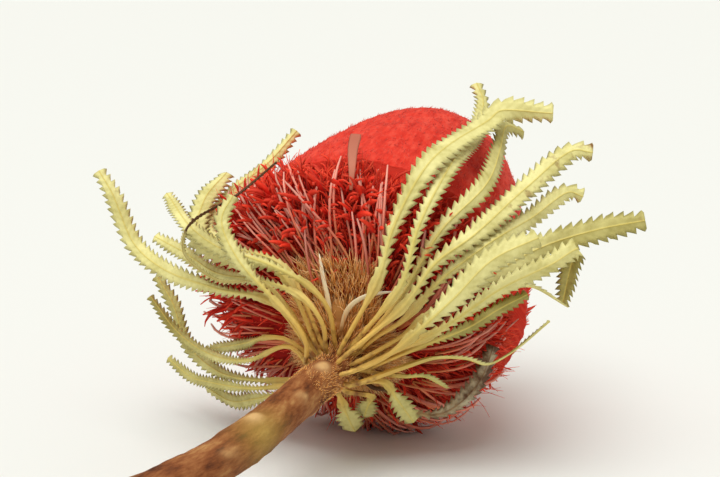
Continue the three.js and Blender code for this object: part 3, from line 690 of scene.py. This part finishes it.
# %% The leaves
def make_leaf(number, root, roll, width, rib, chance):
    """The rib's curve, and round it a flattened ring: across * place + facing * height + tangent * hook."""
    path = smooth_path(np.vstack([*leaf_root(*root), polar(*np.array(rib, float).T)]))
    length = lengths(path)[-1]
    stalk = min(STALK_LENGTH, 0.35 * length) + 2
    teeth = round((length - stalk) / (0.5 + 0.26 * width))
    pitch = (length - stalk) / teeth
    distance, notch = leaf_rings(length, stalk, teeth)
    along = np.clip((distance - stalk) / (length - stalk), 0, 1)
    middle, tangent, across, facing = leaf_frame(path, distance, roll)
    widths = leaf_widths(distance, along, notch, stalk, width, pitch, chance)
    place, outer, inner, hook = leaf_section(distance, along, notch, stalk, widths, chance)
    spread = middle[:, None] + across[:, None] * place[..., None] + tangent[:, None] * hook[..., None]
    outside = spread + facing[:, None] * outer[..., None]
    inside = spread + facing[:, None] * inner[..., None]
    ring = np.concatenate([inside, outside[:, -2:0:-1]], axis=1)
    faces, upper = leaf_faces(*ring.shape[:2])
    sideways = np.concatenate([place, place[:, -2:0:-1]], axis=1)
    run = np.stack([np.broadcast_to(distance[:, None], sideways.shape), sideways], -1) / pitch
    rib_half = widths[2]
    yellow = (0.35 + 0.4 * smoothstep(along, 0, 0.2))[:, None]
    marks = {"rib": (np.exp(-((sideways / (1.1 * rib_half)) ** 4)) * yellow).ravel()}
    for mark, tone in leaf_tones(number, distance, along, stalk, chance).items():
        marks[mark] = np.repeat(tone, ring.shape[1])
    finish, slot = SPECIAL_LEAVES.get(number, (dried_leaf, "dried_leaf"))
    name = f"leaf_{number:02d}"
    make_piece(f"{name}_blade", on_table(ring).reshape(-1, 3), faces, finish, [name],
               uv=run.reshape(-1, 2), marks=marks, face_marks={"inner": upper})


chance = np.random.default_rng(11)
for number, (root, roll, width, rib) in enumerate(LEAVES, 1):
    make_leaf(number, root, roll, width, rib, chance)

# %% [markdown]
# ## Dome of buds
# The top of the head is still in bud. The buds are packed in spirals and covered with dyed silk, so
# the dome reads as red felt with a faint lattice and streaks that run to the tip. A turned surface
# with the lattice as low relief carries it, and a nap of short hairs softens its edge.

# %% Outline of the head
RIM_STATION, RIM_RADIUS = 14, 36.5
HEAD_POWER = 1.2  # more than 1 makes the dome blunter
DOME_FOOT = 20.0
DOME_INSET = 0.7
DOME_LEAN, LEAN_AZIMUTH = 5, 40  # how far the tip stands off the axis, and where to


def head_radius(station):
    """The rim's radius times the root of one minus a power of the share of the way to the tip."""
    share = np.clip((station - RIM_STATION) / (HEAD_LENGTH - RIM_STATION), 0, 1)
    return RIM_RADIUS * np.sqrt(1 - share**HEAD_POWER)


def lean(station):
    """How far the dome is shifted at a station: fast at the foot, then slower, up to the whole lean."""
    share = np.clip((station - DOME_FOOT) / (HEAD_LENGTH - DOME_FOOT), 0, 1)
    return polar(LEAN_AZIMUTH, DOME_LEAN * (1 - (1 - share) ** 2), 0)


fine = DOME_FOOT + (HEAD_LENGTH - DOME_FOOT) * (1 - np.linspace(1, 0, 400) ** 2)
dome_outline = np.stack([np.maximum(head_radius(fine) - DOME_INSET, 0.15), np.zeros(400), fine], -1)
print("dome", round(lengths(dome_outline)[-1], 1), "mm from foot to tip")

# %% Felt finishes
def red_felt(name, stops, sheen):
    """Matted dyed silk: no gloss, a pale bloom at grazing angles, streaks along the nap."""
    material, tree = new_finish(name)
    run = add(tree, "UVMap", uv_map="run").outputs[0]
    streaked = add(tree, "Mapping", {"Vector": run, "Scale": (1, 0.3, 1)}).outputs[0]
    streak = add(tree, "TexNoise", {"Vector": streaked, "Scale": 0.55, "Detail": 6, "Roughness": 0.7})
    red = add(tree, "ValToRGB", {"Fac": streak.outputs["Fac"]}, stops).outputs[0]
    nap = add(tree, "Bump", {"Height": streak.outputs["Fac"], "Strength": 0.4, "Distance": 0.4 * MM})
    show(tree, {"Base Color": red, "Normal": nap.outputs[0], "Roughness": 0.95,
                "Specular IOR Level": 0.1, "Sheen Weight": sheen,
                "Sheen Roughness": 0.5, "Sheen Tint": "#ff9a90"})
    return material


bud_felt = red_felt("dyed bud felt", [(0.3, "#bc2218"), (0.5, "#e03a2a"), (0.7, "#ee5a46")], 0.3)
print("felt:", bud_felt.name)

# %% Dome surface
DOME_ROWS, DOME_COLUMNS = 150, 220
BUDS_ROUND, BUD_ROWS = 52, 34
RUN_RADIUS, RUN_LENGTH = 26, 66  # millimetres that the finish counts round the dome and up it
outline = at_distance(dome_outline, np.linspace(0, lengths(dome_outline)[-1], DOME_ROWS))
climb = unit(np.gradient(outline, axis=0))
azimuth = np.arange(DOME_COLUMNS) * 360 / DOME_COLUMNS
base = polar(azimuth[None], outline[:, :1], outline[:, 2:]) + lean(outline[:, 2:])
out = polar(azimuth[None], climb[:, 2:], -climb[:, :1])
spiral = np.radians(azimuth)[None] * BUDS_ROUND / 2
rise = np.linspace(0, BUD_ROWS * np.pi / 2, DOME_ROWS)[:, None]
lattice = np.abs(np.sin(spiral + rise) * np.sin(spiral - rise)) ** 0.6
fade = np.clip(outline[:, :1] / 16, 0, 1)
relief = 0.3 * lattice * fade + 0.5 * rough(base, 14, 21) * fade + 0.15 * rough(base, 2.5, 22)
surface = base + out * relief[..., None]
round_mm = np.radians(azimuth)[None] * RUN_RADIUS
up_mm = np.linspace(0, RUN_LENGTH, DOME_ROWS)[:, None]
run_mm = np.stack(np.broadcast_arrays(round_mm, up_mm), -1)
make_piece("bud_felt_dome", on_table(surface).reshape(-1, 3),
           [grid_faces(DOME_ROWS, DOME_COLUMNS), *end_faces(DOME_ROWS, DOME_COLUMNS)], bud_felt,
           ["bud_dome"], uv=run_mm.reshape(-1, 2))

# %% [markdown]
# A strand is a small ring carried along a path, and thousands of strands are one array with one more
# dimension. Each stores how far along itself a point is and one chance number, which the finish turns
# into a tone of its own.

# %% Strands
def strands(paths, reference, half_width, half_depth, sides):
    """Rings round many paths at once: path + across * width * cosine + deep * depth * sine, for
    each corner. Across is square to the path and to the strand's reference direction, deep to both. Each
    end is closed by one face."""
    count, rings = paths.shape[:2]
    tangent = unit(np.gradient(paths, axis=1))
    across = unit(np.cross(tangent, reference[:, None]))
    deep = np.cross(tangent, across)
    turn = np.arange(sides) * 2 * np.pi / sides
    wide = (half_width[..., None] * np.cos(turn))[..., None] * across[:, :, None]
    thick = (half_depth[..., None] * np.sin(turn))[..., None] * deep[:, :, None]
    points = (paths[:, :, None] + wide + thick).reshape(-1, 3)
    first = np.arange(count)[:, None] * rings * sides
    quads = (first[:, :, None] + grid_faces(rings, sides)[None]).reshape(-1, 4)
    roots = first + np.arange(sides)[::-1]
    tips = first + (rings - 1) * sides + np.arange(sides)
    return points, [quads, np.concatenate([roots, tips])]


def strand_uv(count, rings, sides, chance):
    """Along each strand from 0 to 1, and one chance number for the whole strand."""
    along = np.broadcast_to(np.linspace(0, 1, rings)[None, :, None], (count, rings, sides))
    lot = np.broadcast_to(chance.random(count)[:, None, None], (count, rings, sides))
    return np.stack([along, lot], -1).reshape(-1, 2)


def grown(root, direction, side, length, bend):
    """Paths that leave root along direction and turn towards side: the bend (radians at each ring) is
    the angle of the step there, and the steps are added up."""
    step = length[:, None] / (bend.shape[1] - 1)
    heading = np.cos(bend)[..., None] * direction[:, None] + np.sin(bend)[..., None] * side[:, None]
    walked = np.cumsum(heading[:, :-1] * step[..., None], axis=1)
    return root[:, None] + np.concatenate([np.zeros_like(walked[:, :1]), walked], axis=1)


print("a strand of 3 sides and 4 rings has", len(grid_faces(4, 3)) * 2 + 2, "triangles")

# %% Strand finishes
def strand_finish(name, root, body, tip, roughness=0.7, sheen=0.0, spread=(0.65, 1.25)):
    """Dry plant fibre: a root, a body and a tip colour along it, and a tone of its own on each strand."""
    material, tree = new_finish(name)
    run = add(tree, "UVMap", uv_map="run").outputs[0]
    parts = add(tree, "SeparateXYZ", {0: run})
    along = add(tree, "ValToRGB", {"Fac": parts.outputs["X"]}, [(0.0, root), (0.45, body), (1.0, tip)])
    tone = add(tree, "MapRange", {"Value": parts.outputs["Y"], "To Min": spread[0], "To Max": spread[1]})
    hue = add(tree, "HueSaturation", {"Color": along.outputs[0], "Value": tone.outputs[0]}).outputs[0]
    show(tree, {"Base Color": hue, "Roughness": roughness, "Specular IOR Level": 0.25,
                "Sheen Weight": sheen, "Sheen Tint": "#ff9a90"})
    return material


bud_nap = strand_finish("dyed bud silk", "#b51f1a", "#da3a2e", "#f0695a", 0.9, 0.2, (0.8, 1.1))
perianth_red = strand_finish("dyed feathery floret", "#a0140c", "#e62c18", "#f6502e", 0.75, 0.2)
bright_red = strand_finish("dyed floret tip", "#a0100c", "#e02414", "#f4472a", 0.6, 0.1, (0.75, 1.15))
style_pink = strand_finish("dyed stiff style", "#d4804a", "#e07a62", "#f2ac98", 0.45, 0.0, (0.7, 1.2))
print("strand finishes:", bud_nap.name, perianth_red.name, bright_red.name, style_pink.name)

# %% Nap of the dome
NAP_HAIRS = 10000
chance = np.random.default_rng(31)
row = np.searchsorted(np.cumsum(outline[:, 0]) / outline[:, 0].sum(), chance.random(NAP_HAIRS))
row = np.clip(row, 1, DOME_ROWS - 2)
column = chance.integers(0, DOME_COLUMNS, NAP_HAIRS)
root = surface[row, column] - out[row, column] * 0.2
upward = polar(azimuth[column], climb[row, 0], climb[row, 2])
around = polar(azimuth[column] + 90, 1, 0)
heading = unit(out[row, column] * chance.uniform(0.15, 0.7, NAP_HAIRS)[:, None] + upward
               + around * chance.normal(0, 0.4, NAP_HAIRS)[:, None])
bend = np.linspace(0, 1, 3)[None] * chance.uniform(-0.2, 0.7, NAP_HAIRS)[:, None]
paths = grown(root, heading, around * np.sign(chance.normal(size=NAP_HAIRS))[:, None],
              chance.uniform(0.8, 1.7, NAP_HAIRS), bend)
half = np.array([0.085, 0.07, 0.02])[None] * chance.uniform(0.7, 1.3, NAP_HAIRS)[:, None]
points, faces = strands(paths, around, half, half, 3)
make_piece("bud_nap", on_table(points), faces, bud_nap, ["bud_dome"],
           uv=strand_uv(NAP_HAIRS, 3, 3, chance))

# %% [markdown]
# ## Open florets
# Below the dome the florets have opened. Each has a feathery red tube that has split into curled
# ribbons, and a stiff pink style. On the side that faces the stem the styles lie like a fan from the
# bracts to the rim; round the flank they rise with the head and gather in small sheaves. A dark
# felted core stops the eye between them. Its deep red is painted shade for the gaps between the strands.

# %% Core of the skirt
LONG_SIDE, LOPSIDE = -105, 0.15


def lopsided(azimuth, share):
    """One at the dome; below it more on the long side and less on the short one, by a cosine."""
    return 1 + LOPSIDE * (1 - share) * np.cos(np.radians(azimuth - LONG_SIDE))


# The core's dark red ramp is painted shade: a dark backing that stands for the shadow between the strands.
core_painted_shade = red_felt("floret bases darkened as painted shade", [(0.3, "#6e0a08"), (0.55, "#a81610"), (0.75, "#cc2a1a")], 0.1)
CORE_COLUMNS = 96
core_profile = [(0.2, 0.2), (6, 0.3), (12, 1.6), (20, 5), (26.5, 9.6), (29.6, 14)]
core_profile += [(head_radius(s) - 5.5, s) for s in (18, 22, 26)] + [(20, 29), (0.2, 30)]
core_line = smooth_path([(r, 0, s) for r, s in core_profile], 12)
azimuth = np.arange(CORE_COLUMNS) * 360 / CORE_COLUMNS
lop = lopsided(azimuth[None], smoothstep(core_line[:, 2:], 10, 22))
core = polar(azimuth[None], core_line[:, :1] * lop, core_line[:, 2:])
core = core * (1 + 0.025 * rough(core, 6, 41))[..., None]
run_mm = np.stack(np.broadcast_arrays(np.radians(azimuth)[None] * 28, lengths(core_line)[:, None]), -1)
make_piece("floret_core", on_table(core).reshape(-1, 3),
           [grid_faces(len(core_line), CORE_COLUMNS), *end_faces(len(core_line), CORE_COLUMNS)], core_painted_shade,
           ["open_florets"], uv=run_mm.reshape(-1, 2))

# %% [markdown]
# The strands are rooted on a skin: an outline turned round the axis, wider on one side. A place on it
# is an azimuth and a distance walked up the outline from the bracts.

# %% Skin of the skirt
LOWEST_FLORET = 0.12
skirt_skin = smooth_path([(7, 0, 0.4), (14, 0, 2.2), (20, 0, 4.8), (26, 0, 8), (31, 0, 11), (34, 0, 15),
                          (34.6, 0, 20), (34, 0, 26), (31.3, 0, 34), (28.4, 0, 42)])
SKIN_LENGTH = lengths(skirt_skin)[-1]


def on_skirt(azimuth, distance):
    """A place on the skirt, the way up it and the way out of it, for a distance up its outline."""
    place = at_distance(skirt_skin, distance)
    climb = unit(at_distance(skirt_skin, distance + 0.5) - at_distance(skirt_skin, distance - 0.5))
    dome_share = np.maximum(1 - smoothstep(place[..., 0], 20, 38), smoothstep(place[..., 2], 14, 24))
    radius = place[..., 0] * lopsided(azimuth, dome_share)
    upward = polar(azimuth, climb[..., 0], climb[..., 2])
    out = polar(azimuth, climb[..., 2], -climb[..., 0])
    return polar(azimuth, radius, place[..., 2]), upward, out


def above_table(points):
    """Head points to table points, with what would dip into the table pressed flat on it."""
    points = on_table(points)
    points[..., 2] = np.maximum(points[..., 2], LOWEST_FLORET)
    return points


print("skirt", round(SKIN_LENGTH, 1), "mm from the bracts to the dome")

# %% [markdown]
# Four layers make the shag: wide curled tips, ribbons, more ribbons under the head, and thin threads.

# %% Feathery ribbons
def shag(count, chance, zone, reach, rise, curl, half, sides=4, rings=5, sector=(-180, 180), lie=0.9):
    """Strands rooted just under the skin: they run up it, stand off by the rise and curl to a side. Near
    the dome they lie flat, by the share lie."""
    azimuth = chance.uniform(*sector, count)
    distance = zone[0] + (zone[1] - zone[0]) * chance.random(count) ** 0.8
    place, upward, out = on_skirt(azimuth, distance)
    around = polar(azimuth + 90, 1, 0)
    flat = 1 - lie * smoothstep(distance, 24, 33)
    lifted = (chance.normal(*rise, count) * flat)[:, None]
    heading = unit(upward + out * lifted + around * chance.normal(0, 0.45, count)[:, None])
    side = unit(out * flat[:, None] + around * chance.normal(0, 1.5, count)[:, None])
    bend = np.linspace(0, 1, rings)[None] ** 1.5 * chance.normal(*curl, count)[:, None]
    root = place - out * (chance.uniform(0.5, 2.5, count) + 1.2 * (1 - flat))[:, None]
    paths = grown(root, heading, side, chance.uniform(*reach, count), bend)
    taper = np.interp(np.linspace(0, 1, rings), [0, 0.3, 0.8, 1], [0.5, 1, 0.85, 0.3])
    wide = taper[None] * chance.uniform(*half, count)[:, None]
    facing = unit(out + around * chance.normal(0, 0.8, count)[:, None])
    points, faces = strands(paths, facing, wide, wide * 0.2 + 0.03, sides)
    return above_table(points), faces, strand_uv(count, rings, sides, chance)


# Each layer's finish and number of strands, ranges of zone, reach and half width, and the mean and the
# spread of rise and curl.
FLORETS = {
    "floret_feathers": (bright_red, 620, dict(
        zone=(14, 32), reach=(5.5, 9.5), rise=(0.8, 0.35), curl=(1.7, 0.9), half=(0.35, 0.75), rings=8,
        sector=(-95, 75))),
    "floret_ribbons": (perianth_red, 4600, dict(
        zone=(4, 38), reach=(4, 8), rise=(0.15, 0.25), curl=(0.8, 1.0), half=(0.18, 0.5))),
    "floret_ribbons_below": (perianth_red, 2100, dict(
        zone=(29, 51), reach=(3, 6), rise=(0.2, 0.2), curl=(0.2, 0.7), half=(0.2, 0.5),
        sector=(40, 200), lie=0)),
    "floret_threads": (perianth_red, 3000, dict(
        zone=(3, 36), reach=(6, 11), rise=(0.12, 0.2), curl=(0.1, 0.5), half=(0.08, 0.18), sides=3)),
}
chance = np.random.default_rng(51)
for name, (finish, count, growth) in FLORETS.items():
    points, faces, uv = shag(count, chance, **growth)
    make_piece(name, points, faces, finish, ["open_florets"], uv=uv)

# %% [markdown]
# The stiff pink styles lie on the shag in small sheaves. Each sweeps a little round the head as it rises.

# %% Styles under the head and up its flank
# Azimuths of the sheaves that stand out on the side we see, then the rest by chance.
SHEAF_AZIMUTHS = [20, 16, 19, 6, -2, -10, -18, -27, -32, -40, -50, -62, -74, -88, -100, -118,
                  96, 112, 130, 150, 172]
MORE_SHEAVES, PER_SHEAF = 26, 4
HIGHEST_STYLE = 38  # millimetres up the skirt's outline
chance = np.random.default_rng(61)
sheaf = np.concatenate([SHEAF_AZIMUTHS, chance.uniform(-180, 180, MORE_SHEAVES)])
SHEAVES = len(sheaf)
STYLES = SHEAVES * PER_SHEAF
t = np.linspace(0, 1, 8)[None]
sweep = np.repeat(chance.normal(-9, 6, SHEAVES), PER_SHEAF)[:, None] * t
loose = chance.normal(0, 5, STYLES)[:, None] * (1 - t) + chance.normal(0, 3.4, STYLES)[:, None] * t
azimuth = np.repeat(sheaf, PER_SHEAF)[:, None] + sweep + loose
start = chance.uniform(5, 18, STYLES)
end = start + chance.uniform(13, 21, STYLES)
walked = np.minimum(start[:, None] + (end - start)[:, None] * t, HIGHEST_STYLE)
place, _, out = on_skirt(azimuth, walked)
stand = chance.uniform(0.3, 2.6, STYLES)[:, None]
stand = stand + chance.uniform(0, 1.8, STYLES)[:, None] * np.sin(np.pi * t * 0.7)
paths = place + out * stand[..., None]
half = np.array([0.7, 0.9, 1, 1, 1, 1, 0.95, 0.6])[None] * chance.uniform(0.24, 0.4, STYLES)[:, None]
points, faces = strands(paths, np.tile([0.0, 0.0, 1.0], (STYLES, 1)), half, half, 4)
make_piece("style_sheaves", above_table(points), faces, style_pink, ["open_florets"],
           uv=strand_uv(STYLES, 8, 4, chance))

# %% [markdown]
# One papery bract has come up with the florets. It stands out of them, widest near its end.

# %% A papery strap
STRAP = [(4, 33.5, 10.5), (3, 36.5, 14), (2, 39, 17.5), (2, 41, 20.5)]
strap_paper = strand_finish("rosy papery bract", "#b4664e", "#c87e66", "#b86a54", 0.8, 0.0, (1.0, 1.1))
line = smooth_path(polar(*np.array(STRAP, float).T))
path = at_distance(line, np.linspace(0, lengths(line)[-1], 16))[None]
half = np.interp(np.linspace(0, 1, 16), [0, 0.3, 0.8, 0.97, 1], [0.35, 0.7, 1.25, 1.4, 1.2])[None]
points, faces = strands(path, polar(0, np.ones((1, 1)), 0).reshape(1, 3), half, half * 0.1 + 0.06, 8)
make_piece("papery_strap", on_table(points), faces, strap_paper, ["open_florets"],
           uv=strand_uv(1, 16, 8, np.random.default_rng(65)))

# %% [markdown]
# ## Bracts
# Woolly brown scales close the joint of stem and head. Each is a small spoon, and brown hair grows
# from all of them and down the top of the stem, so that the leaf stalks rise out of fur. Two long pale
# bracts have kept their papery blade.

# %% Bract finish and scales
# Dry fibrous paper: tan streaks along the scale, no gloss.
bract_skin, tree = new_finish("papery bract")
run = add(tree, "UVMap", uv_map="run").outputs[0]
streaked = add(tree, "Mapping", {"Vector": run, "Scale": (0.2, 1.6, 1)}).outputs[0]
fibre = add(tree, "TexNoise", {"Vector": streaked, "Scale": 1.0, "Detail": 5})
tan = add(tree, "ValToRGB", {"Fac": fibre.outputs["Fac"]},
          [(0.3, "#96602f"), (0.55, "#bd8548"), (0.75, "#dcae74")])
show(tree, {"Base Color": tan.outputs[0], "Roughness": 0.85, "Specular IOR Level": 0.2})


def outward(azimuth, lift):
    """A direction out from the axis, raised by a lift (radians) towards the tip of the head."""
    return polar(azimuth, np.cos(lift), np.sin(lift))


BRACTS = 44
GOLDEN_ANGLE = 137.508
chance = np.random.default_rng(71)
azimuth = np.arange(BRACTS) * GOLDEN_ANGLE
tier = np.arange(BRACTS) / BRACTS
lift = np.radians(9 + 20 * tier + chance.normal(0, 5, BRACTS))
root = polar(azimuth, 4.6, -3.6 + 3.0 * tier)
bend = np.linspace(0, 1, 9)[None] * chance.uniform(0.1, 0.9, BRACTS)[:, None]
facing = outward(azimuth, lift + np.pi / 2)
paths = grown(root, outward(azimuth, lift), facing, chance.uniform(7, 12, BRACTS), bend)
spoon = np.array([0.5, 0.75, 0.95, 1.05, 1.1, 1.1, 1.0, 0.75, 0.2])
half = spoon[None] * chance.uniform(1.5, 2.4, BRACTS)[:, None]
points, faces = strands(paths, facing, half, half * 0.2 + 0.1, 8)
uv = strand_uv(BRACTS, 9, 8, chance) * [14, 1]
make_piece("bract_scales", on_table(points), faces, bract_skin, ["bract_collar"], uv=uv)

# %% Two pale blades
pale_bract = strand_finish("bleached papery bract", "#cfa468", "#f4e4ba", "#fdf4dc", 0.6, 0.0, (1.0, 1.1))
PALE_BLADES = [
    [(-9, 9, -3.5), (-9, 13, -1.5), (-10, 18, 0.5), (-10, 22.5, 2.5)],
    [(5, 7, -4), (12, 12, -2.5), (23, 16, -1.5), (40, 20, 0.5)],
]
lines = [smooth_path(polar(*np.array(blade, float).T)) for blade in PALE_BLADES]
paths = np.stack([at_distance(line, np.linspace(0, lengths(line)[-1], 12)) for line in lines])
half = np.interp(np.linspace(0, 1, 12), [0, 0.3, 0.8, 1], [0.35, 0.6, 0.45, 0.08])[None].repeat(2, 0)
points, faces = strands(paths, np.tile([0.0, 0.0, 1.0], (2, 1)), half, half * 0.3, 8)
make_piece("bract_blades", on_table(points), faces, pale_bract, ["bract_collar"],
           uv=strand_uv(2, 12, 8, np.random.default_rng(75)))

# %% [markdown]
# The wool grows outwards from a cone between the bracts, farther on the upper side.

# %% Wool of the bracts
def hairs(root, heading, reach, shorter, curl, half, chance):
    """Thin tapered strands that bend by a chance angle to a chance side: points, faces and runs."""
    count = len(root)
    side = unit(np.cross(heading, chance.normal(size=(count, 3))))
    bend = np.linspace(0, 1, 4)[None] * chance.normal(0, curl, count)[:, None]
    paths = grown(root, heading, side, chance.uniform(*reach, count) * shorter, bend)
    thin = np.array([1, 0.9, 0.7, 0.2])[None] * chance.uniform(*half, count)[:, None]
    return *strands(paths, side, thin, thin, 3), strand_uv(count, 4, 3, chance)


bract_wool = strand_finish("brown bract wool", "#cf8434", "#f2b05c", "#fcd89c", 0.85, 0.1, (0.9, 1.3))
WOOL = 4600
chance = np.random.default_rng(81)
azimuth = chance.uniform(-180, 180, WOOL)
reach = np.interp(azimuth, [-180, -60, -30, 20, 45, 180], [9.5, 10, 19.5, 19.5, 11, 9.5])
radius = 4 + (reach - 4) * np.sqrt(chance.random(WOOL))
station = np.interp(radius, [4, 8, 16, 22], [-5, -2.6, 1.2, 4]) + chance.normal(0, 0.5, WOOL)
heading = outward(azimuth + chance.normal(0, 14, WOOL), np.radians(chance.normal(8, 16, WOOL)))
root = polar(azimuth, radius, station)
points, faces, uv = hairs(root, heading, (2, 5), 1, 0.5, (0.06, 0.12), chance)
make_piece("bract_wool", on_table(points), faces, bract_wool, ["bract_collar"], uv=uv)

# %% [markdown]
# The fur covers the bark below the bracts, so the stalks come out of it at different heights.

# %% Fur down the top of the stem
FUR, FUR_LENGTH_OF_STEM = 2600, 24
chance = np.random.default_rng(91)
down = FUR_LENGTH_OF_STEM * chance.random(FUR) ** 1.3
row = np.searchsorted(np.linspace(0, STEM_LENGTH, STEM_ROWS), down).clip(0, STEM_ROWS - 1)
angle = chance.uniform(0, 2 * np.pi, FUR)[:, None]
away = stem_normal[row] * np.cos(angle) + stem_binormal[row] * np.sin(angle)
flare = np.interp(down, [2, 5, 9], [4, 1.2, 0])
root = stem_middle[row] + away * (stem_radius(down / STEM_LENGTH) + flare)[:, None]
heading = unit(away + stem_tangent[row] * chance.normal(-1.8, 0.5, FUR)[:, None])
shorter = 1 - 0.75 * down / FUR_LENGTH_OF_STEM
points, faces, uv = hairs(root, heading, (0.9, 2.2), shorter, 0.6, (0.03, 0.06), chance)
make_piece("stem_fur", points, faces, bract_wool, ["stem"], uv=uv)
